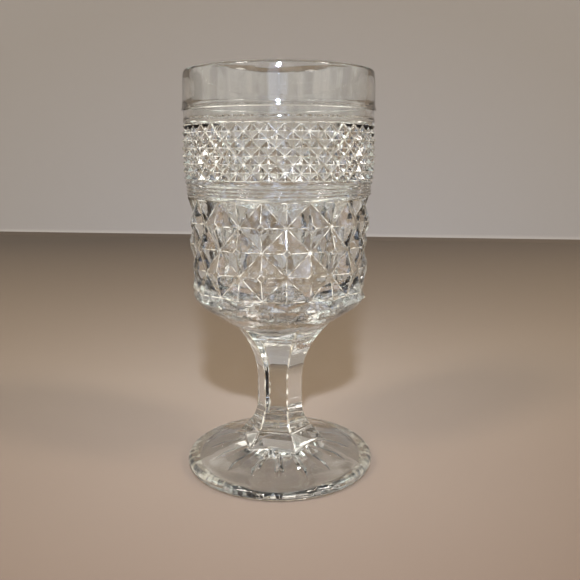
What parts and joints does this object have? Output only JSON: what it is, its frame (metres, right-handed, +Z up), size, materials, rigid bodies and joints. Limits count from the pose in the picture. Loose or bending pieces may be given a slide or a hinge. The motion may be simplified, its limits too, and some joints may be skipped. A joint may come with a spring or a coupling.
{
  "type": "stemmed water goblet",
  "caption": "Clear pressed glass water goblet with a diamond-patterned bowl, a six-sided stem and a round rayed foot.",
  "frame": {"origin": "centre of the foot on the surface that the goblet stands on", "axes": "+Z up along the goblet's axis, -Y towards the middle of one large diamond, +X to its right"},
  "size_m": [0.082, 0.082, 0.168],
  "materials": {
    "clear_glass": "clear pressed soda-lime glass, fire-polished, with a faint grey-green tint"
  },
  "bodies": {
    "root": {"bowl": "clear_glass", "stem": "clear_glass", "foot": "clear_glass"}
  },
  "joints": []
}
